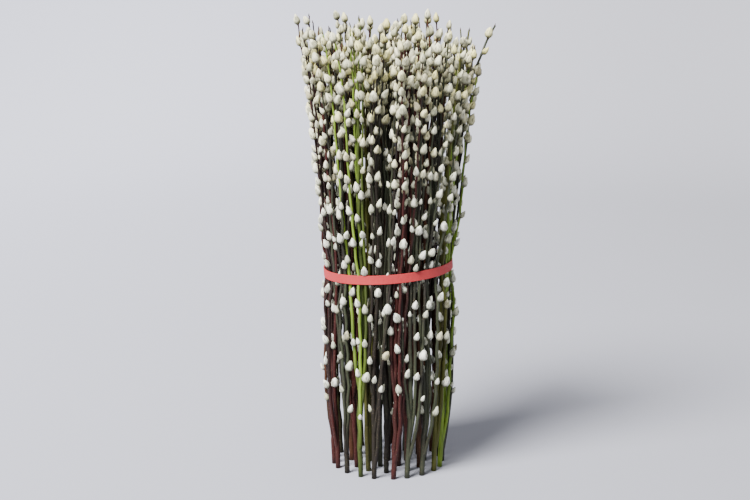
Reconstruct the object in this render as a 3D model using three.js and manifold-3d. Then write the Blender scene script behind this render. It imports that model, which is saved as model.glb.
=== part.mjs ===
// A tied bunch of pussy willow: forty cut branches that stand on their level cut ends in one elastic tie.
// Millimetres, +Z up. The bunch stands on z = 0 and is centred on its own bounding box.
import * as THREE from "three";
import { mergeVertices } from "three/addons/utils/BufferGeometryUtils.js";
import Module from "manifold-3d";

const wasm = await Module();
wasm.setup();

// Driving dimensions of the bunch.
const LENGTH = 700; // cut end to the usual tip
const TIP_SPREAD = 24; // how far a tip may stand above or below that
const TIE_HEIGHT = 325; // cut end to the middle of the tie
const BASE_RADIUS = 88; // of the outer ring of stems, at the cut ends
const TIE_RADIUS = 94.5; // the same ring, inside the tie
const TOP_RADIUS = 127; // the same ring, at the tips

// Driving dimensions of one branch.
const STEM_FOOT = 4.2; // radius at the cut end
const STEM_TIP = 1.2; // radius at the tip
const STEM_WAVE = 2.2; // how far a stem wanders to each side
const SHOOT_FOOT = 2.3; // radius of a side shoot where it leaves the stem
const SHOOT_TIP = 0.9;
const SHOOT_GAP = 13; // stem to side shoot at the top of the bunch, centre to centre
const SHOOT_SWING = 42; // height in which a side shoot swings up beside its stem
const SHOOT_STARTS = [60, 115, 190, 375]; // usual heights where side shoots leave the stem
const START_SPREAD = 32;

// Driving dimensions of one catkin, and of the rows they stand in.
const CATKIN_LENGTH = 15.5;
const CATKIN_WIDTH = 9.4;
const CATKIN_LEAN = 0.6; // radians between a catkin and its shoot
const FIRST_CATKIN = 14; // below the tip
const CATKIN_STEP = 22; // between the two highest catkins of a shoot
const STEP_GROWTH = 1.4; // each step down is longer by this
const GOLDEN_ANGLE = Math.PI * (3 - Math.sqrt(5));
const CLEARANCE = 0.5; // least gap kept between two branches

// Driving dimensions of the tie.
const TIE_WIDTH = 14;
const TIE_THICKNESS = 1.6;
const TIE_INNER = TIE_RADIUS + 7.2;
const TIE_TILT = 0.07; // radians, lower on the left
const TIE_ZONE = 24; // no catkin on the outer ring comes this near the tie's height

// The rings that the stems stand in: share of the bunch's radius, stems, and turn from foot to tip.
const RINGS = [
  { share: 0, count: 1, turn: 0, catkins: [2, 2] },
  { share: 0.34, count: 6, turn: 0.3, catkins: [2, 2] },
  { share: 0.67, count: 12, turn: -0.2, catkins: [2, 1] },
  { share: 1, count: 21, turn: 0.12, catkins: [6, 2] },
];

// Stems that lean out at the top: how far, from what height, and how much longer they are.
const STRAYS = {
  20: { lean: 46, from: 540, lift: 6 },
  21: { lean: 8, from: 380, lift: -20 },
  30: { lean: 20, from: 470, lift: -16 },
  34: { lean: 0, from: 0, lift: 16 },
  40: { lean: 17, from: 420, lift: -38 },
};

const BARKS = {
  maroon: { color: 0x4a2227, roughness: 0.55 },
  charcoal: { color: 0x34302b, roughness: 0.65 },
  russet: { color: 0x6a3a24, roughness: 0.6 },
  olive: { color: 0x6b6a2c, roughness: 0.55 },
  lime: { color: 0x93ab35, roughness: 0.5 },
};
const BARK_OF_BRANCH = [
  ["maroon", [1, 4, 7, 9, 12, 15, 18, 23, 27, 31, 32, 36]],
  ["charcoal", [2, 6, 10, 13, 17, 20, 24, 28, 33, 35, 37, 38]],
  ["russet", [3, 8, 14, 19, 22, 25, 30]],
  ["olive", [5, 11, 16, 21, 26, 29, 39]],
  ["lime", [34, 40]],
];

// A repeatable scatter from low to high.
function between(low, high, number, salt) {
  const wave = Math.sin(number * 127.1 + salt * 311.7) * 43758.5453;
  return low + (high - low) * (wave - Math.floor(wave));
}

// The outer ring's radius at height z: widest at the tips, a little drawn in from the tie down.
function bundleRadius(z) {
  if (z < TIE_HEIGHT) {
    return TIE_RADIUS + (BASE_RADIUS - TIE_RADIUS) * (1 - z / TIE_HEIGHT) ** 2;
  }
  const up = (z - TIE_HEIGHT) / (LENGTH - TIE_HEIGHT);
  return TIE_RADIUS + (TOP_RADIUS - TIE_RADIUS) * up ** 1.3;
}

// Where each branch stands, with what makes it differ from its neighbours.
function layOutBranches() {
  const branches = [];
  RINGS.forEach((ring) => {
    const step = (2 * Math.PI) / ring.count;
    for (let place = 0; place < ring.count; place += 1) {
      const number = branches.length + 1;
      const stray = STRAYS[number] ?? { lean: 0, from: 0, lift: 0 };
      branches.push({
        number,
        ring,
        stray,
        outer: ring.share === 1,
        bark: BARK_OF_BRANCH.find(([, numbers]) => numbers.includes(number))[0],
        angle: step * (place + between(-0.09, 0.09, number, 1)),
        tip: LENGTH + stray.lift + between(-TIP_SPREAD, TIP_SPREAD, number, 2),
        phase: between(0, 2 * Math.PI, number, 3),
      });
    }
  });
  return branches;
}

// The centre line of a branch's stem at height z, with the stem's full lean or, for what stays upright, none.
function stemAt(branch, z, lean = branch.stray.lean) {
  const { ring, stray, angle, phase } = branch;
  const leaning = Math.max(0, (z - stray.from) / (LENGTH - stray.from));
  const radius = ring.share * bundleRadius(z) + lean * leaning ** 1.8;
  const turned = angle + (ring.turn * z) / LENGTH;
  const wave = STEM_WAVE * Math.min(1, z / 120);
  return new THREE.Vector3(
    radius * Math.cos(turned) + wave * Math.sin(z / 62 + phase),
    radius * Math.sin(turned) + wave * Math.cos(z / 74 + 2 * phase),
    z,
  );
}

// A branch's side shoots. Those of the outer ring stay beside or behind their stem, so that the tie can close.
function sideShoots(branch) {
  const { number, outer, angle, phase, tip } = branch;
  const ways = outer ? [1.8, -1.8, 2.8, -2.8] : [0, 1.6, -1.6, 3.14];
  return SHOOT_STARTS.map((usual, place) => {
    const key = number * 7 + place;
    return {
      start: usual + between(-START_SPREAD, START_SPREAD, key, 4),
      tip: tip - between(4, 50, key, 5),
      heading: (outer ? angle : phase) + ways[place] + between(-0.2, 0.2, key, 6),
    };
  });
}

// The centre line of a side shoot at height z: it swings out of the stem, then runs beside it.
function shootAt(branch, shoot, z) {
  const spread = (SHOOT_GAP * bundleRadius(z)) / TOP_RADIUS;
  const out = spread * (1 - Math.exp(-(z - shoot.start) / SHOOT_SWING));
  const point = stemAt(branch, z, 0);
  point.x += out * Math.cos(shoot.heading);
  point.y += out * Math.sin(shoot.heading);
  return point;
}

// A shoot as a chain of straight lengths between knots on its centre line.
function chain(branch, bottom, top, steps, ease, centre) {
  const knots = [];
  for (let step = 0; step <= steps; step += 1) {
    knots.push(centre(bottom + (top - bottom) * (step / steps) ** ease));
  }
  const at = (z) => {
    const next = Math.max(1, knots.findIndex((knot) => knot.z >= z));
    const [low, high] = z > top ? knots.slice(-2) : [knots[next - 1], knots[next]];
    return low.clone().lerp(high, (z - low.z) / (high.z - low.z));
  };
  return { branch, bottom, top, knots, at };
}

// Every shoot of a branch, its stem first.
function axesOf(branch) {
  const [onStem, onShoot] = branch.ring.catkins;
  const stem = chain(branch, 0, branch.tip, 7, 1, (z) => stemAt(branch, z));
  const shoots = sideShoots(branch).map((shoot) =>
    chain(branch, shoot.start, shoot.tip, 3, 1.5, (z) => shootAt(branch, shoot, z)),
  );
  return [
    { ...stem, foot: STEM_FOOT, end: STEM_TIP, sides: 5, catkins: onStem },
    ...shoots.map((s) => ({ ...s, foot: SHOOT_FOOT, end: SHOOT_TIP, sides: 4, catkins: onShoot })),
  ];
}

const radiusAt = (axis, z) =>
  THREE.MathUtils.mapLinear(z, axis.bottom, axis.top, axis.foot, axis.end);

// A closed three.js geometry as a solid.
function solidOf(geometry) {
  geometry.deleteAttribute("normal");
  geometry.deleteAttribute("uv");
  const merged = mergeVertices(geometry, 1e-4);
  return new wasm.Manifold(
    new wasm.Mesh({
      numProp: 3,
      vertProperties: new Float32Array(merged.attributes.position.array),
      triVerts: new Uint32Array(merged.index.array),
    }),
  );
}

// A tapered rod through a shoot's knots, one row of corners to a knot.
function rodSolid(axis) {
  const rows = axis.knots.length - 1;
  const rod = new THREE.CylinderGeometry(1, 1, rows, axis.sides, rows);
  rod.rotateX(Math.PI / 2);
  const corner = rod.attributes.position;
  for (let i = 0; i < corner.count; i += 1) {
    const knot = axis.knots[Math.round(corner.getZ(i) + rows / 2)];
    const radius = radiusAt(axis, knot.z);
    corner.setXYZ(i, knot.x + radius * corner.getX(i), knot.y + radius * corner.getY(i), knot.z);
  }
  return solidOf(rod);
}

// A catkin that points the given way from its shoot at height z: its foot is inside the bark.
function placeCatkin(axis, z, turn) {
  const outward = new THREE.Vector3(Math.cos(turn), Math.sin(turn), 0);
  const along = axis.at(z + 5).sub(axis.at(z - 5)).normalize();
  along.multiplyScalar(Math.cos(CATKIN_LEAN)).addScaledVector(outward, Math.sin(CATKIN_LEAN));
  const foot = axis.at(z).addScaledVector(outward, 0.15 * radiusAt(axis, z));
  const middle = foot.clone().addScaledVector(along, CATKIN_LENGTH / 2);
  return { branch: axis.branch, foot, along, middle };
}

function catkinSolid({ middle, along }) {
  const catkin = new THREE.OctahedronGeometry(1);
  catkin.scale(CATKIN_WIDTH / 2, CATKIN_LENGTH / 2, CATKIN_WIDTH / 2);
  const turned = new THREE.Quaternion().setFromUnitVectors(new THREE.Vector3(0, 1, 0), along);
  catkin.applyQuaternion(turned);
  catkin.translate(middle.x, middle.y, middle.z);
  return solidOf(catkin);
}

const branches = layOutBranches();
const axes = branches.flatMap(axesOf);
const catkins = [];

// True where a catkin clears the tie, the other branches and what they already carry.
function hasRoom(placed) {
  if (placed.branch.outer && Math.abs(placed.middle.z - TIE_HEIGHT) < TIE_ZONE) return false;
  const onShoot = axes.some((axis) => {
    if (axis.branch === placed.branch) return false;
    return [0.35, 0.7, 1].some((share) => {
      const point = placed.foot.clone().addScaledVector(placed.along, CATKIN_LENGTH * share);
      if (point.z < axis.bottom - 5 || point.z > axis.top + 5) return false;
      const centre = axis.at(point.z);
      const wide = CLEARANCE + (share === 1 ? 0 : CATKIN_WIDTH / 2);
      return Math.hypot(centre.x - point.x, centre.y - point.y) < wide + radiusAt(axis, point.z);
    });
  });
  if (onShoot) return false;
  return !catkins.some((other) => {
    if (other.branch === placed.branch) return false;
    const apart = other.middle.clone().sub(placed.middle);
    return Math.hypot(apart.x, apart.y) < CATKIN_WIDTH && Math.abs(apart.z) < CATKIN_LENGTH;
  });
}

// Down each shoot, every catkin takes the first of eight ways round that has room.
axes.forEach((axis, key) => {
  let z = axis.top - FIRST_CATKIN;
  for (let place = 0; place < axis.catkins; place += 1) {
    const turn = GOLDEN_ANGLE * place + between(0, 6.28, key, 7);
    const ways = [0, 1, -1, 2, -2, 3, -3, 4].map((way) => turn + (way * Math.PI) / 4);
    const placed = ways.map((way) => placeCatkin(axis, z, way)).find(hasRoom);
    if (placed) catkins.push(placed);
    z -= CATKIN_STEP * STEP_GROWTH ** place;
  }
});

// One branch: its stem, side shoots and catkins grown together.
function branchMesh(branch) {
  const rods = axes.filter((axis) => axis.branch === branch).map(rodSolid);
  const carried = catkins.filter((catkin) => catkin.branch === branch).map(catkinSolid);
  const grown = wasm.Manifold.union([...rods, ...carried]);
  const { vertProperties, triVerts } = grown.getMesh();
  const geometry = new THREE.BufferGeometry();
  geometry.setAttribute("position", new THREE.BufferAttribute(vertProperties, 3));
  geometry.setIndex(new THREE.BufferAttribute(triVerts, 1));
  geometry.computeVertexNormals();
  const mesh = new THREE.Mesh(geometry, new THREE.MeshStandardMaterial(BARKS[branch.bark]));
  mesh.name = `branch_${String(branch.number).padStart(2, "0")}`;
  return mesh;
}

// The elastic tie: one flat band round the outer stems.
function tieMesh() {
  const outline = new THREE.Shape().absarc(0, 0, TIE_INNER + TIE_THICKNESS, 0, 2 * Math.PI);
  outline.holes.push(new THREE.Path().absarc(0, 0, TIE_INNER, 0, 2 * Math.PI));
  const options = { depth: TIE_WIDTH, bevelEnabled: false, curveSegments: 20 };
  const band = new THREE.ExtrudeGeometry(outline, options);
  band.translate(0, 0, -TIE_WIDTH / 2);
  const elastic = new THREE.MeshStandardMaterial({ color: 0xd4636a, roughness: 0.6 });
  const mesh = new THREE.Mesh(band, elastic);
  mesh.name = "tie_band";
  mesh.rotation.y = -TIE_TILT;
  mesh.position.z = TIE_HEIGHT;
  return mesh;
}

const bunch = new THREE.Group();
branches.forEach((branch) => bunch.add(branchMesh(branch)));
bunch.add(tieMesh());

const extent = new THREE.Box3().setFromObject(bunch, true);
const middle = extent.getCenter(new THREE.Vector3());
bunch.position.set(-middle.x, -middle.y, -extent.min.z);

export default bunch;
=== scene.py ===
import itertools
import math
import bpy
from mathutils import Matrix, Vector
from mathutils.kdtree import KDTree


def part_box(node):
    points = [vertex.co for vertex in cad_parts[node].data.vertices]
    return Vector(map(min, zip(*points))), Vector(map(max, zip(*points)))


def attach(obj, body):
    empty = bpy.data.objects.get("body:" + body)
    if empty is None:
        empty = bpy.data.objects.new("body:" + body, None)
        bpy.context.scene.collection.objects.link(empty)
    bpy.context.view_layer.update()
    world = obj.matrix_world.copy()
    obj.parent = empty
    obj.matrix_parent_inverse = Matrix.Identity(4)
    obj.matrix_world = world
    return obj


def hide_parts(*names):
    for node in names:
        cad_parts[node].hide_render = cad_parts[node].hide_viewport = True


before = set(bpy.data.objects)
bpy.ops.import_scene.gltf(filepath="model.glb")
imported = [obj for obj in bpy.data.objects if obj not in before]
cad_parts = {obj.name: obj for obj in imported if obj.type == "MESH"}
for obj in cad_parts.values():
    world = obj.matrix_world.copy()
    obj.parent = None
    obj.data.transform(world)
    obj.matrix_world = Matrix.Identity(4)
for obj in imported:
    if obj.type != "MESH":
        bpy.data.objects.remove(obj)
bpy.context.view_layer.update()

# ---- The place of the bunch ----
# Everything is measured from the middle of the tie, where the axis of the bunch goes through it. Heights
# along the branches are counted in millimetres from the cut ends, as a grower does.
MM = 0.001
TIE_HEIGHT = 325
tie_low, tie_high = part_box("tie_band")
TIE_MIDDLE = (tie_low + tie_high) / 2
FOOT = TIE_MIDDLE - Vector((0, 0, TIE_HEIGHT * MM))

# ---- Camera ----
# A long lens two metres away, well above the tie, looks down a little on the front of the bunch.
CAMERA_BACK = 2.2
CAMERA_UP = 0.45
CAMERA_TIPPED = 10.9  # degrees down from level
CAMERA_TURNED = 0.55  # degrees to the left
bpy.ops.object.select_all(action="DESELECT")
bpy.ops.object.camera_add(
    location=TIE_MIDDLE + Vector((0, -CAMERA_BACK, CAMERA_UP)),
    rotation=(math.radians(90 - CAMERA_TIPPED), 0, math.radians(CAMERA_TURNED)),
)
camera = bpy.context.object
camera.data.lens = 67.5
camera.data.sensor_width = 36
bpy.context.scene.camera = camera

# ---- How the branches grow ----
# Forty branches stand in four rings. Each has a main stem that wanders a little, and side shoots that swing
# out of it and run up beside it, those of the outer ring across their neighbours. The tie draws them in, and
# above it they spread.
LENGTH = 700
TIP_SPREAD = 24
BASE_RADIUS = 88
TIE_RADIUS = 94.5
TOP_RADIUS = 127
FLARE = 1.3  # the higher this is, the later the bunch opens above the tie
TIE_INNER = TIE_RADIUS + 7.2  # leaves room for the thickness and the wave of the outer stems
TIE_GRIP = 12  # how far above and below its middle the tie holds everything in
TIE_RELIEF = 0.2  # how fast it lets go from there
RINGS = ((0, 1, 0), (0.34, 6, 0.3), (0.67, 12, -0.2), (1, 21, 0.12))  # share of the radius, stems, turn
STRAYS = {  # how far the branch's tip leans out, from what height on, and how much longer it is
    20: (46, 540, 6),
    21: (8, 380, -20),
    30: (20, 470, -16),
    34: (0, 0, 16),
    40: (17, 420, -38),
}
STRAY_CURVE = 1.8
STEM = (4.3, 1.0)  # radius at the foot and at the tip
STRAY_STEM = (4.3, 1.5)
SIDE_SHOOT = (2.9, 0.9)
TAPER = 0.75  # below 1, most of the thinning is near the tip
STEM_WAVE = 2.2
WAVE_X, WAVE_Y = 62, 74  # height to one radian of the wave, from side to side and from front to back
WAVE_FROM = 120  # below this height the wave fades out
KINK = 1.3  # how far a twig zigzags from bud to bud
KINK_LENGTH = 52
KINK_FROM = 60  # it grows in over this length
KINK_TURN = 2.4  # from the way one twig zigzags to the way of the next
SHOOT_STARTS = (60, 115, 190, 375, 30)  # the last one only on the outer ring
START_SPREAD = 32
OUTER_WAYS = (1.8, -1.8, 2.8, -2.8, 1.2)  # which way each side shoot heads, from straight out, in radians
INNER_WAYS = (0, 1.6, -1.6, 3.14)
WAY_SPREAD = 0.2
SHOOT_GAP = 13  # from a side shoot to its stem, at the top of the bunch
SHOOT_SWING = 42  # height over which it swings out most of that way
CROSSING = 0.36  # how far round the bunch a shoot of the outer ring may go, in radians
CROSSING_SHARES = (1, 1, 0.5, 0.5, 1)
CROSSING_LIFT = 0.06  # how much further out it lies than its neighbours, as a share of the radius
LOOSE_END = 110  # the last centimetres of a twig never run quite straight
LOOSENESS = 8


def scatter(low, high, number, salt):
    """A value between low and high that looks drawn at random but is the same each time."""
    wave = math.sin(number * 127.1 + salt * 311.7) * 43758.5453
    return low + (high - low) * (wave - math.floor(wave))


def bundle_radius(z):
    if z < TIE_HEIGHT:
        return TIE_RADIUS + (BASE_RADIUS - TIE_RADIUS) * (1 - z / TIE_HEIGHT) ** 2
    return TIE_RADIUS + (TOP_RADIUS - TIE_RADIUS) * ((z - TIE_HEIGHT) / (LENGTH - TIE_HEIGHT)) ** FLARE


class Shoot:
    """A stem or side shoot: its two heights, its thickness and its wandering centre line, in millimetres."""

    def __init__(self, branch, rank, bottom, top, foot, tip, heading=0.0, crossing=0.0):
        self.branch, self.rank, self.bottom, self.top = branch, rank, bottom, top
        self.foot, self.tip, self.heading, self.crossing = foot, tip, heading, crossing
        self.key = branch["number"] * 6 + rank
        self.catkins, self.buds = [], []

    def radius(self, z):
        share = (z - self.bottom) / (self.top - self.bottom)
        return self.tip + (self.foot - self.tip) * max(0.0, 1 - share) ** TAPER

    def at(self, z):
        """The centre at height z, from the middle of the cut ends."""
        branch = self.branch
        lean, start, _ = branch["stray"]
        leaning = max(0.0, (z - start) / (LENGTH - start)) ** STRAY_CURVE * (lean if self.rank == 0 else 0)
        radius = branch["share"] * bundle_radius(z) + leaning
        turned = branch["angle"] + branch["turn"] * z / LENGTH
        wave = STEM_WAVE * min(1, z / WAVE_FROM)
        x = radius * math.cos(turned) + wave * math.sin(z / WAVE_X + branch["phase"])
        y = radius * math.sin(turned) + wave * math.cos(z / WAVE_Y + 2 * branch["phase"])
        if self.rank:
            swung = 1 - math.exp(-(z - self.bottom) / SHOOT_SWING)
            spread = SHOOT_GAP * bundle_radius(z) / TOP_RADIUS
            x += swung * spread * math.cos(self.heading)
            y += swung * spread * math.sin(self.heading)
            if self.crossing:
                across = self.crossing * (z - self.bottom) / (self.top - self.bottom)
                out = 1 + CROSSING_LIFT * swung
                x, y = (out * (x * math.cos(across) - y * math.sin(across)),
                        out * (x * math.sin(across) + y * math.cos(across)))
        zigzag = KINK * min(1, (z - self.bottom) / KINK_FROM) * (
            abs((z / KINK_LENGTH + scatter(0, 1, self.key, 33)) % 1 - 0.5) * 4 - 1)
        x += zigzag * math.cos(KINK_TURN * self.key)
        y += zigzag * math.sin(KINK_TURN * self.key)
        loose = max(0.0, (z - self.top + LOOSE_END) / LOOSE_END) ** 2
        x += loose * scatter(-LOOSENESS, LOOSENESS, self.key, 31)
        y += loose * scatter(-LOOSENESS, LOOSENESS, self.key, 32)
        held = TIE_INNER - self.radius(z) - 0.4 + TIE_RELIEF * max(0, abs(z - TIE_HEIGHT) - TIE_GRIP)
        squeeze = min(1, held / max(1, math.hypot(x, y)))
        return Vector((x * squeeze, y * squeeze, z))


branches = []
for share, count, turn in RINGS:
    outer = share == 1
    ways = OUTER_WAYS if outer else INNER_WAYS
    for place in range(count):
        number = len(branches) + 1
        stray = STRAYS.get(number, (0, 0, 0))
        angle = 2 * math.pi / count * (place + scatter(-0.09, 0.09, number, 1))
        tip = LENGTH + stray[2] + scatter(-TIP_SPREAD, TIP_SPREAD, number, 2)
        phase = scatter(0, 2 * math.pi, number, 3)
        branch = {
            "number": number, "share": share, "turn": turn, "stray": stray, "angle": angle, "phase": phase}
        branch["shoots"] = [Shoot(branch, 0, 0, tip, *(STRAY_STEM if stray[0] else STEM))]
        for rank, (usual, way) in enumerate(zip(SHOOT_STARTS, ways)):
            key = number * 7 + rank
            start = usual + scatter(-START_SPREAD, START_SPREAD, key, 4) * min(1, usual / 60)
            top = tip - scatter(4, 50, key, 5)
            heading = (angle if outer else phase) + way + scatter(-WAY_SPREAD, WAY_SPREAD, key, 6)
            crossing = scatter(-CROSSING, CROSSING, key, 8) * CROSSING_SHARES[rank] if outer else 0
            branch["shoots"].append(Shoot(branch, rank + 1, start, top, *SIDE_SHOOT, heading, crossing))
        branches.append(branch)
shoots = [shoot for branch in branches for shoot in branch["shoots"]]

# ---- Where the catkins sit ----
# Each looks the one way of eight that leaves it the most room among the shoots and the catkins already there.
# They crowd together towards the tips and thin out further down. Where there is no room, some buds never
# opened.
TIE_TILT = 0.07
TIE_CLEARANCE = 11  # a catkin on the outside stays this far above or below the tie's middle
CATKIN_SIZES = {  # length, width
    "plump": (17, 12), "full": (16.5, 10), "slim": (15.5, 8.5), "tight": (12, 6.8)}
LOWEST_CATKIN = 95
GOLDEN_ANGLE = math.pi * (3 - math.sqrt(5))
CROWDED = 70  # how far down from the tip they stand closest
CLOSEST, WIDEST, THINNING = 26, 50, 0.13  # from one to the next, and how fast that grows
INNER_THINNING = 2.2  # how many times further apart they stand inside the bunch
LOW_THINNING = 1.25  # and below the tie
WAYS = 8
NEAR = 14  # anything further off than this doesn't count
ENOUGH = 3.2
SAMPLE = 6
CELL = 16
SEAT = 0.75  # how far out in its shoot a bud's foot is, as a share of the radius
samples = [
    (shoot, shoot.bottom + SAMPLE * step)
    for shoot in shoots for step in range(int((shoot.top - shoot.bottom) / SAMPLE) + 1)
]
crowd = KDTree(len(samples))
for index, (shoot, z) in enumerate(samples):
    crowd.insert(shoot.at(z), index)
crowd.balance()


class Bud:
    """A catkin or a closed bud: where its foot is on its shoot, which way it points and which way is out."""

    def __init__(self, shoot, z, turn, lean, length=4.0, width=0.0, kind="bud", key=0):
        self.z, self.length, self.width, self.kind, self.key = z, length, width, kind, key
        self.outward = Vector((math.cos(turn), math.sin(turn), 0))
        upward = (shoot.at(z + 4) - shoot.at(z - 4)).normalized()
        self.along = (upward * math.cos(lean) + self.outward * math.sin(lean)).normalized()
        self.foot = shoot.at(z) + self.outward * (SEAT * shoot.radius(z))
        self.middle = self.foot + self.along * (0.55 * length)
        self.end = self.foot + self.along * length


def room(shoot, catkin, others):
    """How far a catkin is from anything that grows, in millimetres; nothing where the tie is in the way."""
    for point in (catkin.middle, catkin.end):
        tie_z = TIE_HEIGHT + point.x * TIE_TILT
        if abs(point.z - tie_z) < TIE_CLEARANCE and math.hypot(point.x, point.y) > TIE_INNER - 5:
            return 0
    gaps = [gap for _, index, gap in crowd.find_range(catkin.middle, NEAR) if samples[index][0] is not shoot]
    apart = [(catkin.middle - other).length for other in others]
    gaps += [distance * 0.7 for distance in apart if distance < NEAR]
    return min(gaps, default=NEAR)


def cell(point):
    return tuple(int(side // CELL) for side in point)


cells = {}
for shoot in shoots:
    bare = (12, 26) if scatter(0, 1, shoot.key, 12) < 0.5 else (5, 9)
    z = shoot.top - scatter(*bare, shoot.key, 11)
    turn = scatter(0, 6.28, shoot.key, 13)
    place = 0
    shoot.buds.append(Bud(shoot, shoot.top - 1, turn, 0.1))
    while z > max(shoot.bottom + 35, LOWEST_CATKIN):
        depth = shoot.top - z
        key = shoot.key * 40 + place
        facing = turn + GOLDEN_ANGLE * place
        big = scatter(0, 1, key, 14) + (0.4 if depth < 110 else 0)
        kind = "plump" if big > 0.92 else "full" if big > 0.42 else "slim" if big > 0.12 else "tight"
        length, width = (side * scatter(0.88, 1.14, key, 15) for side in CATKIN_SIZES[kind])
        lean = 0.12 if depth < 10 else scatter(0.22, 0.5, key, 16)
        here = cell(shoot.at(z))
        all_steps = itertools.product((-1, 0, 1), repeat=3)
        around = [tuple(h + s for h, s in zip(here, steps)) for steps in all_steps]
        others = [middle for spot in around for middle in cells.get(spot, ())]
        best, most = None, 0
        for way in range(WAYS):
            looking = facing + way * 2 * math.pi / WAYS
            trial = Bud(shoot, z, looking, lean, length, width, kind, key)
            free = room(shoot, trial, others) - 0.15 * way
            if free > most:
                best, most = trial, free
        if most > ENOUGH:
            shoot.catkins.append(best)
            cells.setdefault(cell(best.middle), []).append(best.middle)
        elif scatter(0, 1, key, 17) < 0.5:
            shoot.buds.append(Bud(shoot, z, facing, 0.35))
        inside = INNER_THINNING if shoot.branch["share"] < 1 and depth > 75 else 1
        low = LOW_THINNING if z < TIE_HEIGHT - 20 else 1
        step = min(CLOSEST + THINNING * max(0, depth - CROWDED), WIDEST)
        z -= inside * low * step * scatter(0.75, 1.25, key, 18)
        place += 1

# ---- Bark, bud scales and cut ends ----
# A willow twig has thin smooth bark over pale wood. It swells a little at each node, and brown scales sit
# under the catkins and round the buds that have not opened. Each branch is cut level.
BARKS = {  # colour at the foot, colour at the tip, flush on the sunny side
    "maroon": ("2a1714", "240f0d", "381512"),
    "charcoal": ("26241d", "1e1b16", "363a2a"),
    "russet": ("2f1f14", "29160e", "492b1a"),
    "olive": ("302f17", "2e2612", "48491b"),
    "lime": ("495b20", "556922", "718a2b"),
}
BARK_OF_BRANCH = {
    "maroon": (1, 4, 7, 9, 12, 15, 18, 23, 27, 31, 32, 36),
    "charcoal": (2, 6, 10, 13, 17, 20, 24, 28, 33, 35, 37, 38),
    "russet": (3, 8, 14, 19, 22, 25, 30),
    "olive": (5, 11, 16, 21, 26, 29, 39),
    "lime": (34, 40),
}
RING = 8  # corners round a shoot
KNOT_STEP = 13  # between two rings of corners
NODE = (-3, 0, 2.5)  # where the rings of a node lie, from its middle
SWELL = 1.16  # how many times thicker it is there
FORK = 30  # a side shoot is thicker over its first centimetres
FORK_SWELL = 1.2
FORK_WIDTH, FORK_OPENING = 0.75, 0.14  # it starts at this share of its stem, and comes out of it this fast
TONE_BLEND = 140  # and has its stem's tone there
RIM = 0.6  # of bark round the cut
WOOD = 4.1
PITH = 1.0
HUSK_FITS = 9  # width of the catkin that a bud scale fits as it is
HUSK_SUNK = 0.6


class Wire:
    """A shader socket that takes part in arithmetic."""

    def __init__(self, tree, socket=None):
        self.tree, self.socket = tree, socket

    def node(self, kind, settings, inputs, output=0):
        """Another node, from its settings and the values or wires of its sockets."""
        made = self.tree.nodes.new(kind)
        for name, value in settings.items():
            setattr(made, name, value)
        for key, value in inputs.items():
            if isinstance(value, Wire):
                self.tree.links.new(value.socket, made.inputs[key])
            else:
                made.inputs[key].default_value = value
        return Wire(self.tree, made.outputs[output])

    def math(self, operation, first, second):
        return self.node("ShaderNodeMath", {"operation": operation}, {0: first, 1: second})

    def __add__(self, other):
        return self.math("ADD", self, other)

    def __radd__(self, other):
        return self.math("ADD", other, self)

    def __sub__(self, other):
        return self.math("SUBTRACT", self, other)

    def __rsub__(self, other):
        return self.math("SUBTRACT", other, self)

    def __mul__(self, other):
        return self.math("MULTIPLY", self, other)

    def __rmul__(self, other):
        return self.math("MULTIPLY", other, self)

    def ramp(self, low, high):
        """0 below low, 1 above high, and smooth between."""
        settings = {"interpolation_type": "SMOOTHSTEP"}
        return self.node("ShaderNodeMapRange", settings, {0: self, 1: low, 2: high})

    def mix(self, without, full):
        """One colour where this is 0, the other where it is 1."""
        return self.node("ShaderNodeMix", {"data_type": "RGBA"}, {0: self, 6: without, 7: full}, 2)


class Finish(Wire):
    """A material while its nodes are put together."""

    def __init__(self, name, **fixed):
        self.material = bpy.data.materials.new(name)
        self.material.use_nodes = True
        super().__init__(self.material.node_tree)
        self.shader = self.tree.nodes["Principled BSDF"]
        for socket, value in fixed.items():
            self.shader.inputs[socket.replace("_", " ")].default_value = value

    def drive(self, socket, wire):
        self.tree.links.new(wire.socket, self.shader.inputs[socket])

    def place(self, scale):
        """Object coordinates, stretched by the scale of each axis."""
        own = self.node("ShaderNodeTexCoord", {}, {}, 3)
        return self.node("ShaderNodeMapping", {}, {0: own, 3: scale})

    def carried(self, name):
        """An attribute that the mesh carries."""
        return self.node("ShaderNodeAttribute", {"attribute_name": name}, {}, 2)

    def noise(self, vector, scale, detail=2.0):
        return self.node("ShaderNodeTexNoise", {}, {"Vector": vector, "Scale": scale, "Detail": detail})


def colour(code):
    """A hex colour as linear light."""
    parts = [int(code[i:i + 2], 16) / 255 for i in (0, 2, 4)]
    return tuple(p / 12.92 if p <= 0.04045 else ((p + 0.055) / 1.055) ** 2.4 for p in parts) + (1.0,)


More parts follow.
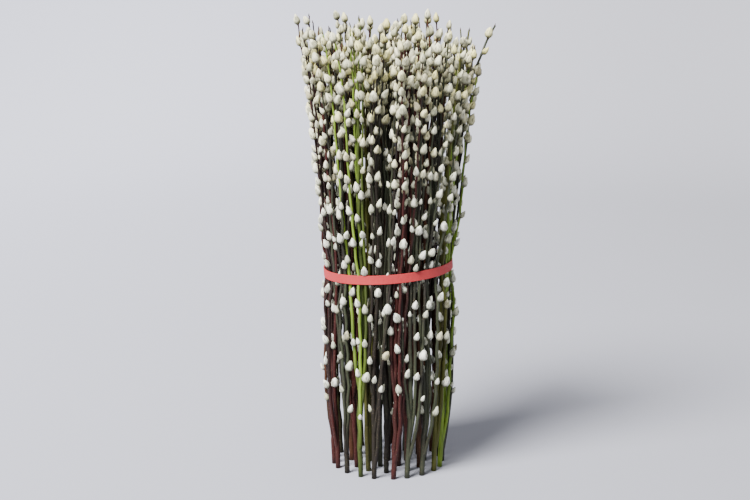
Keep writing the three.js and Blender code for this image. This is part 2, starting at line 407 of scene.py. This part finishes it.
def bark_finish(name, foot, tip, flush):
    bark = Finish(f"bark_{name}", Specular_IOR_Level=0.2)
    age, tone, husk, wood = (bark.carried(kind) for kind in ("age", "tone", "husk", "wood"))
    streaks = bark.noise(bark.place((900, 900, 45)), 1.0, 3.0)
    patches = bark.noise(bark.place((60, 60, 14)), 1.0)
    specks = bark.node("ShaderNodeTexVoronoi", {}, {"Vector": bark.place((420, 420, 260)), "Scale": 1.0})
    base = age.mix(colour(foot), colour(tip))
    base = (patches + tone * 0.4).ramp(0.5, 0.9).mix(base, colour(flush))
    base = ((1 - tone).ramp(0.45, 0.9) * 0.6).mix(base, colour("1a110c"))
    base = (streaks.ramp(0.42, 0.72) * 0.4).mix(base, colour("0e0a08"))
    pores = (1 - specks.ramp(0.10, 0.22)) * (1 - age.ramp(0.5, 0.95))
    base = (pores * 0.35).mix(base, colour("8a7656"))
    base = husk.mix(base, streaks.ramp(0.35, 0.7).mix(colour("2a1a12"), colour("5d4026")))
    rays = streaks.ramp(0.3, 0.8).mix(colour("d8cfa6"), colour("b9a878"))
    rays = wood.ramp(1.6, 1.7).mix(rays, colour("8f7a4e"))
    base = wood.ramp(0.45, 0.55).mix(base, rays)
    bark.drive("Base Color", base)
    bark.drive("Roughness", 0.45 + streaks * 0.25 + wood * 0.1)
    height = streaks + pores * 0.8
    relief = bark.node("ShaderNodeBump", {}, {"Strength": 0.5, "Distance": 0.0004, "Height": height})
    bark.drive("Normal", relief)
    return bark.material


bark_materials = {name: bark_finish(name, *codes) for name, codes in BARKS.items()}


def carry(mesh, **values):
    """Gives every point of a mesh the same value of each attribute."""
    for name, value in values.items():
        layer = mesh.attributes.get(name) or mesh.attributes.new(name, "FLOAT", "POINT")
        layer.data.foreach_set("value", [value] * len(mesh.vertices))


def pick(piece, test):
    """Goes into edit mode with only the points selected that pass the test."""
    bpy.ops.object.mode_set(mode="OBJECT")
    bpy.ops.object.mode_set(mode="EDIT")
    bpy.ops.mesh.select_mode(type="VERT")
    bpy.ops.mesh.select_all(action="DESELECT")
    bpy.ops.object.mode_set(mode="OBJECT")
    for vertex in piece.data.vertices:
        vertex.select = test(vertex.co)
    bpy.ops.object.mode_set(mode="EDIT")


# The scale under a catkin: a small brown cup with one pointed side that hugs the down.
bpy.ops.object.select_all(action="DESELECT")
bpy.ops.mesh.primitive_cone_add(
    vertices=7, radius1=0.0009, radius2=0.0027, depth=0.0030, location=(0, 0, 0.0011))
husk_master = bpy.context.object
pick(husk_master, lambda co: co.z > 0.0005 and co.x > 0.0012)
bpy.ops.transform.translate(value=(0.0004, 0, 0.0030))
bpy.ops.object.mode_set(mode="OBJECT")
bpy.ops.object.transform_apply()
bpy.ops.object.shade_smooth()
carry(husk_master.data, husk=1.0, wood=0.0)

# An unopened bud: a narrow pointed egg, flat on the side of the stem.
bpy.ops.mesh.primitive_uv_sphere_add(segments=6, ring_count=5, radius=0.001, location=(0, 0, 0))
bud_master = bpy.context.object
pick(bud_master, lambda co: True)
bpy.ops.transform.resize(value=(1.0, 0.9, 2.6), center_override=(0, 0, 0))
bpy.ops.transform.translate(value=(0, 0, 0.0022))
pick(bud_master, lambda co: co.z > 0.003)
bpy.ops.transform.resize(value=(0.65, 0.65, 1), center_override=(0, 0, 0))
bpy.ops.object.mode_set(mode="OBJECT")
bpy.ops.object.transform_apply()
bpy.ops.object.shade_smooth()
carry(bud_master.data, husk=0.8, wood=0.0)


def settled(foot, along, outward, scale):
    """The matrix that stands a small part on its foot, its z the given way and its x away from the shoot."""
    z = along.normalized()
    y = z.cross(outward).normalized()
    x = y.cross(z)
    turned = Matrix((x, y, z)).transposed().to_4x4()
    return Matrix.Translation(FOOT + foot * MM) @ turned @ Matrix.Diagonal((*scale, 1))


def copied(master, matrix, name):
    piece = bpy.data.objects.new(name, master.data.copy())
    bpy.context.scene.collection.objects.link(piece)
    piece.data.transform(matrix)
    return piece


def joined(pieces, name):
    """Joins pieces into the first of them."""
    bpy.ops.object.select_all(action="DESELECT")
    for piece in pieces:
        piece.select_set(True)
    bpy.context.view_layer.objects.active = pieces[0]
    bpy.ops.object.join()
    pieces[0].name = pieces[0].data.name = name
    return pieces[0]


for branch in branches:
    label = f"{branch['number']:02d}"
    kind = next(name for name, numbers in BARK_OF_BRANCH.items() if branch["number"] in numbers)
    stem = branch["shoots"][0]
    stem_tone = scatter(0, 1, stem.key, 21)
    bpy.ops.object.select_all(action="DESELECT")
    bpy.ops.curve.primitive_nurbs_path_add(location=(0, 0, 0))
    bark = bpy.context.object
    bark.data.splines.clear()
    bark.data.dimensions = "3D"
    bark.data.bevel_depth = MM
    bark.data.bevel_resolution = 2
    bark.data.twist_mode = "MINIMUM"
    ages, tones = [], []
    for shoot in branch["shoots"]:
        nodes = [bud.z for bud in shoot.catkins + shoot.buds]
        steps = range(1, int((shoot.top - shoot.bottom) / KNOT_STEP))
        plain = {shoot.bottom + KNOT_STEP * step for step in steps}
        if shoot.rank:
            plain |= {shoot.bottom + 4, shoot.bottom + 8}
        swollen = [node + away for node in nodes for away in NODE]
        heights = [z for z in plain if all(abs(z - node) > 5 for node in nodes)]
        heights += [z for z in swollen if shoot.bottom + 4 < z < shoot.top - 2]
        heights = sorted(heights + [shoot.bottom, shoot.top])
        own_tone = scatter(0, 1, shoot.key, 21) - stem_tone
        spline = bark.data.splines.new("POLY")
        spline.points.add(len(heights) - 1)
        for point, z in zip(spline.points, heights):
            above = z - shoot.bottom
            radius = shoot.radius(z)
            if any(abs(z - node) < 0.1 for node in nodes):
                radius = radius * SWELL + 0.15
            if shoot.rank:  # it starts inside the stem
                radius += FORK_SWELL * max(0, 1 - above / FORK) ** 2
                radius = min(radius, FORK_WIDTH * stem.radius(z) + FORK_OPENING * above)
            point.co = (*(FOOT + shoot.at(z) * MM), 1)
            point.radius = radius
            ages += [z / LENGTH] * RING
            tones += [stem_tone + own_tone * min(1, above / TONE_BLEND)] * RING
    bpy.ops.object.convert(target="MESH")
    bark = bpy.context.object
    if len(bark.data.vertices) != len(ages):
        raise RuntimeError(f"a shoot has {len(bark.data.vertices)} corners in place of {len(ages)}")
    carry(bark.data, husk=0.0, wood=0.0, age=0.0, tone=0.0)
    bark.data.attributes["age"].data.foreach_set("value", ages)
    bark.data.attributes["tone"].data.foreach_set("value", tones)
    bpy.ops.object.shade_smooth()
    # the level cut: a rim of bark round pale wood and its pith
    pick(bark, lambda co: co.z < FOOT.z + 0.8 * MM)
    bpy.ops.transform.resize(value=(1, 1, 0), center_override=FOOT)
    bpy.ops.mesh.select_all(action="SELECT")
    bpy.ops.mesh.fill_holes(sides=RING)
    bpy.ops.mesh.select_all(action="SELECT")
    bpy.ops.mesh.normals_make_consistent(inside=False)
    pick(bark, lambda co: co.z < FOOT.z + 0.01 * MM)
    bpy.ops.mesh.select_mode(type="FACE")
    bpy.ops.mesh.inset(thickness=RIM * MM)
    bpy.ops.mesh.poke()
    bpy.ops.object.mode_set(mode="OBJECT")
    heart = FOOT + stem.at(0) * MM
    for vertex, layer in zip(bark.data.vertices, bark.data.attributes["wood"].data):
        if vertex.co.z < FOOT.z + 0.01 * MM:
            from_heart = (vertex.co - heart).length / MM
            layer.value = 2 if from_heart < PITH else 1 if from_heart < WOOD else 0
    small = []
    for catkin in (catkin for shoot in branch["shoots"] for catkin in shoot.catkins):
        grown = catkin.width / HUSK_FITS
        seat = catkin.foot - catkin.along * HUSK_SUNK
        husk = copied(husk_master, settled(seat, catkin.along, catkin.outward, (grown, grown, grown)), "husk")
        carry(husk.data, age=catkin.z / LENGTH, tone=scatter(0, 1, catkin.key, 22))
        small.append(husk)
    for closed in (closed for shoot in branch["shoots"] for closed in shoot.buds):
        bud = copied(bud_master, settled(closed.foot, closed.along, closed.outward, (1, 1, 1)), "bud")
        carry(bud.data, age=closed.z / LENGTH, tone=0.5)
        small.append(bud)
    bark = joined([bark] + small, f"bark_{label}")
    bark.data.materials.clear()
    bark.data.materials.append(bark_materials[kind])
    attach(bark, "root")
    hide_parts(f"branch_{label}")
bpy.data.objects.remove(husk_master)
bpy.data.objects.remove(bud_master)

# ---- Catkins ----
# Each is a tight pointed egg of silky down, pale cream, and yellower and fuller towards the tips of the
# twigs. The hairs lie towards its point, so the down is streaked along it. Its lower part is painted darker
# and greener: partly the real green foot of the down, partly painted shade on its underside and in its scale.
PROFILES = {  # share of the width at six heights, from the foot up
    "plump": (0.50, 0.86, 1.0, 0.93, 0.68, 0.34),
    "full": (0.44, 0.84, 1.0, 0.88, 0.56, 0.24),
    "slim": (0.42, 0.82, 1.0, 0.85, 0.53, 0.22),
    "tight": (0.40, 0.80, 1.0, 0.86, 0.54, 0.22),
}
PROFILE_HEIGHTS = (0.04, 0.15, 0.32, 0.52, 0.73, 0.89)
YELLOW_FROM, YELLOW_OVER = 380, 260  # where up the branch they begin to yellow, and over what height
SIDES = 8
TUFT = 0.05  # every other corner stands out, and the rest lie in, by this share
TUFT_LIFT = 0.03  # and higher up, by this share of the length
ASIDE = 10  # finished rings wait up here, clear of those still to come
catkin_masters = {}
for kind, shares in PROFILES.items():
    bpy.ops.object.select_all(action="DESELECT")
    bpy.ops.mesh.primitive_uv_sphere_add(segments=SIDES, ring_count=7, radius=0.5, location=(0, 0, 0))
    master = bpy.context.object
    rings = sorted({round(v.co.z, 4) for v in master.data.vertices})
    spans = {z: math.sqrt(max(0, 0.25 - z * z)) for z in rings}
    for ring, (z, width, up) in enumerate(zip(rings[1:-1], shares, PROFILE_HEIGHTS)):
        wide = 0.5 * width / spans[z]
        for tuft, swell, lift in ((0, 1 + TUFT, TUFT_LIFT), (1, 1 - TUFT, 0)):
            pick(master, lambda co: abs(co.z - z) < 1e-3
                 and round(math.atan2(co.y, co.x) / (2 * math.pi / SIDES) + ring) % 2 == tuft)
            bpy.ops.transform.resize(value=(wide * swell, wide * swell, 1), center_override=(0, 0, 0))
            bpy.ops.transform.translate(value=(0, 0, ASIDE + up - z + lift))
    for end, up in ((rings[0], 0), (rings[-1], 1)):
        pick(master, lambda co: abs(co.z - end) < 1e-3)
        bpy.ops.transform.translate(value=(0, 0, ASIDE + up - end))
    pick(master, lambda co: True)
    bpy.ops.transform.translate(value=(0, 0, -ASIDE))
    bpy.ops.object.mode_set(mode="OBJECT")
    bpy.ops.object.shade_smooth()
    catkin_masters[kind] = master

down = Finish(
    "catkin_down", Roughness=0.9, Specular_IOR_Level=0.15,
    Sheen_Weight=0.3, Sheen_Roughness=0.4, Sheen_Tint=(1.0, 0.98, 0.92, 1),
    Subsurface_Weight=0.15, Subsurface_Radius=(0.9, 0.8, 0.6), Subsurface_Scale=0.002)
wrapped = down.node("ShaderNodeUVMap", {"uv_map": "UVMap"}, {})
hairs = down.noise(down.node("ShaderNodeMapping", {}, {0: wrapped, 3: (11, 2.5, 1)}), 1.0, 4.0)
tufts = down.noise(down.place((420, 420, 300)), 1.0)
tint, climb, height = (down.carried(kind) for kind in ("tint", "climb", "height"))
cream = height.mix(colour("f4f4e3"), colour("f5f0ce"))
cream = (height * tint.ramp(0.4, 1.0)).mix(cream, colour("ede396"))
cream = (1 - tint.ramp(0.0, 0.07)).mix(cream, colour("d9c4a0"))
cream = (0.6 * (1 - tint.ramp(0.1, 0.5))).mix(cream, colour("a9aa88"))
cream = (hairs.ramp(0.46, 0.66) * 0.75).mix(cream, colour("4f5139"))
# painted shade with a real green foot: each catkin is darkened grey-green towards its foot and deep olive at
# the very foot
cream = ((1 - climb.ramp(0.15, 0.8)) * 0.55).mix(cream, colour("5f6145"))
cream = ((1 - climb.ramp(0.04, 0.4)) * 0.85).mix(cream, colour("32331c"))
down.drive("Base Color", cream)
ruffle = {"Strength": 0.9, "Distance": 0.0009, "Height": hairs + tufts * 0.7}
down.drive("Normal", down.node("ShaderNodeBump", {}, ruffle))

for branch in branches:
    label = f"{branch['number']:02d}"
    carried = []
    for grown in (catkin for shoot in branch["shoots"] for catkin in shoot.catkins):
        master = catkin_masters[grown.kind]
        size = (grown.width * MM, grown.width * MM, grown.length * MM)
        rolled = Matrix.Rotation(scatter(0, 6.28, grown.key, 23), 4, "Z")
        catkin = copied(master, settled(grown.foot, grown.along, grown.outward, size) @ rolled, "catkin")
        yellowed = max(0, min(1, (grown.z - YELLOW_FROM) / YELLOW_OVER))
        carry(catkin.data, tint=scatter(0, 1, grown.key, 24), height=yellowed)
        climbs = catkin.data.attributes.new("climb", "FLOAT", "POINT")
        climbs.data.foreach_set("value", [corner.co.z for corner in master.data.vertices])
        carried.append(catkin)
    catkin_piece = joined(carried, f"catkins_{label}")
    catkin_piece.data.materials.clear()
    catkin_piece.data.materials.append(down.material)
    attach(catkin_piece, "root")
    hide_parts(f"branch_{label}")
for master in catkin_masters.values():
    bpy.data.objects.remove(master)

# ---- The tie ----
# A loop of flat coral elastic, woven with fine upright ribs, pulled over the bunch from below and a little
# askew. Its ends overlap at the back and are sewn together with two rows of stitches.
TIE_WIDTH = 14
TIE_THICKNESS = 1.5
TIE_OUTER = TIE_INNER + TIE_THICKNESS
TIE_EDGE = 0.35  # radius of its rounded edges
RIBS = 330
RIB_DEPTH = 0.002  # as a share of the radius
OVERLAP = 0.14  # half of it, in radians
OVERLAP_GAP = 0.1
ROWS = (-0.1, 0.1)  # of stitches, in radians from the middle of the overlap
STITCHES_IN_ROW = 5
STITCH_GAP = 2.5
bpy.ops.object.select_all(action="DESELECT")
bpy.ops.mesh.primitive_cylinder_add(
    vertices=2 * RIBS, radius=TIE_OUTER * MM, depth=TIE_WIDTH * MM, end_fill_type="NOTHING",
    location=(0, 0, 0))
tie = bpy.context.object
cloth = tie.modifiers.new("cloth", "SOLIDIFY")
cloth.thickness = TIE_THICKNESS * MM
cloth.offset = -1
rounded = tie.modifiers.new("rounded", "BEVEL")
rounded.width = TIE_EDGE * MM
rounded.segments = 2
rounded.angle_limit = math.radians(60)
bpy.ops.object.modifier_apply(modifier="cloth")
bpy.ops.object.modifier_apply(modifier="rounded")
MIDDLE = (TIE_OUTER - TIE_THICKNESS / 2) * MM


def on_rib(co):
    return round(math.atan2(co.y, co.x) / math.pi * RIBS) % 2


pick(tie, lambda co: math.hypot(co.x, co.y) > MIDDLE and not on_rib(co))
bpy.ops.transform.resize(value=(1 - RIB_DEPTH, 1 - RIB_DEPTH, 1), center_override=(0, 0, 0))
bpy.ops.object.mode_set(mode="OBJECT")
ribbing = tie.data.attributes.new("rib", "FLOAT", "POINT")
ribbing.data.foreach_set("value", [on_rib(corner.co) for corner in tie.data.vertices])

# the overlap: the same cloth once more, just outside
bpy.ops.object.select_all(action="DESELECT")
tie.select_set(True)
bpy.ops.object.duplicate()
overlap = bpy.context.object
pick(overlap, lambda co: co.y < 0 or abs(math.atan2(co.x, co.y)) > OVERLAP)
bpy.ops.mesh.delete(type="VERT")
bpy.ops.mesh.select_all(action="SELECT")
bpy.ops.mesh.fill_holes(sides=0)
bpy.ops.mesh.select_all(action="SELECT")
wider = (TIE_OUTER + TIE_THICKNESS + OVERLAP_GAP) / TIE_OUTER
bpy.ops.transform.resize(value=(wider, wider, 1), center_override=(0, 0, 0))
bpy.ops.mesh.normals_make_consistent(inside=False)
bpy.ops.object.mode_set(mode="OBJECT")
tie.name = tie.data.name = "tie_band_elastic"
overlap.name = overlap.data.name = "tie_band_overlap"

# the stitches: short flat bars of thread through the overlap
bpy.ops.mesh.primitive_uv_sphere_add(segments=8, ring_count=6, radius=0.5 * MM, location=(0, 0, 0))
stitch_master = bpy.context.object
pick(stitch_master, lambda co: True)
bpy.ops.transform.resize(value=(0.8, 0.55, 2.3), center_override=(0, 0, 0))
bpy.ops.object.mode_set(mode="OBJECT")
bpy.ops.object.shade_smooth()
stitches = []
for row, place in itertools.product(ROWS, range(STITCHES_IN_ROW)):
    height = STITCH_GAP * (place - (STITCHES_IN_ROW - 1) / 2)
    seat = Matrix.Translation(Vector((0, TIE_OUTER + 1.6, height)) * MM)
    stitches.append(copied(stitch_master, Matrix.Rotation(row, 4, "Z") @ seat, "stitch"))
thread = joined(stitches, "tie_band_thread")
bpy.data.objects.remove(stitch_master)

elastic = Finish("tie_elastic", Roughness=0.55, Specular_IOR_Level=0.35)
rib = elastic.carried("rib")
weave = elastic.noise(elastic.place((2600, 2600, 700)), 1.0)
stretch = elastic.noise(elastic.place((9, 9, 20)), 1.0)
coral = stretch.ramp(0.3, 0.7).mix(colour("b43232"), colour("a7292b"))
# painted shade: the grooves between the ribs are darkened
coral = ((1 - rib) * 0.6).mix(coral, colour("8f2529"))
coral = (weave.ramp(0.45, 0.75) * 0.25).mix(coral, colour("dc6a64"))
elastic.drive("Base Color", coral)
relief = elastic.node("ShaderNodeBump", {}, {"Strength": 0.4, "Distance": 0.0002, "Height": weave})
elastic.drive("Normal", relief)
spun = Finish("tie_thread", Roughness=0.6)
strand = spun.noise(spun.place((1500, 1500, 5000)), 1.0)
spun.drive("Base Color", strand.ramp(0.35, 0.65).mix(colour("c2464c"), colour("e88a86")))

for piece, finish in ((tie, elastic), (overlap, elastic), (thread, spun)):
    piece.data.transform(Matrix.Translation(TIE_MIDDLE) @ Matrix.Rotation(-TIE_TILT, 4, "Y"))
    piece.data.materials.clear()
    piece.data.materials.append(finish.material)
    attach(piece, "root")
    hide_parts("tie_band")

# ---- Floor and backdrop ----
# A wide pale bowl: a level floor that curves up ever more steeply at its rim. Its colour is painted
# lighter on the left and darker on the right, as painted light fall-off.
# The rim is low enough to let the daylight in.
FLAT, RIM_RADIUS = 2.7, 4.8
STEPS = 20
STEEPNESS = 0.12
WALL = 0.6
bpy.ops.object.select_all(action="DESELECT")
bpy.ops.mesh.primitive_circle_add(vertices=128, radius=FLAT, fill_type="NGON", location=(0, 0, 0))
backdrop = bpy.context.object
bpy.ops.object.mode_set(mode="EDIT")
bpy.ops.mesh.select_mode(type="EDGE")
bpy.ops.mesh.select_all(action="SELECT")
for step in range(STEPS):
    near, far = (FLAT + (RIM_RADIUS - FLAT) * (step + end) / STEPS for end in (0, 1))
    rise = STEEPNESS * ((far - FLAT) ** 3 - (near - FLAT) ** 3)
    bpy.ops.mesh.extrude_edges_move(TRANSFORM_OT_translate={"value": (0, 0, rise)})
    bpy.ops.transform.resize(value=(far / near, far / near, 1), center_override=(0, 0, 0))
bpy.ops.mesh.extrude_edges_move(TRANSFORM_OT_translate={"value": (0, 0, WALL)})
bpy.ops.object.mode_set(mode="OBJECT")
bpy.ops.object.shade_smooth_by_angle(angle=math.radians(40))
backdrop.name = "backdrop"
paper = Finish("backdrop_paper", Roughness=0.9, Specular_IOR_Level=0.1)
across = paper.node("ShaderNodeSeparateXYZ", {}, {0: paper.place((1, 1, 1))})
# painted light: the paper's colour darkens from left to right, standing in for light falling off
paper.drive("Base Color", across.ramp(-1.8, 1.6).mix(colour("b3b4c0"), colour("8b8b91")))
backdrop.data.materials.append(paper.material)

# ---- Light ----
# Daylight through a big soft window high on the left in front, and pale light all round.
DAYLIGHT_WAY = Vector((1.1, 1.15, -1.6))
bpy.ops.object.light_add(type="SUN", location=(-2, -2, 3))
window = bpy.context.object
window.name = "window"
window.data.energy = 13.5
window.data.angle = math.radians(30)
window.rotation_euler = DAYLIGHT_WAY.to_track_quat("-Z", "Y").to_euler()
world = bpy.data.worlds.new("pale_room")
bpy.context.scene.world = world
world.use_nodes = True
room_light = world.node_tree.nodes["Background"]
room_light.inputs["Color"].default_value = (0.94, 0.96, 1.0, 1)
room_light.inputs["Strength"].default_value = 0.6
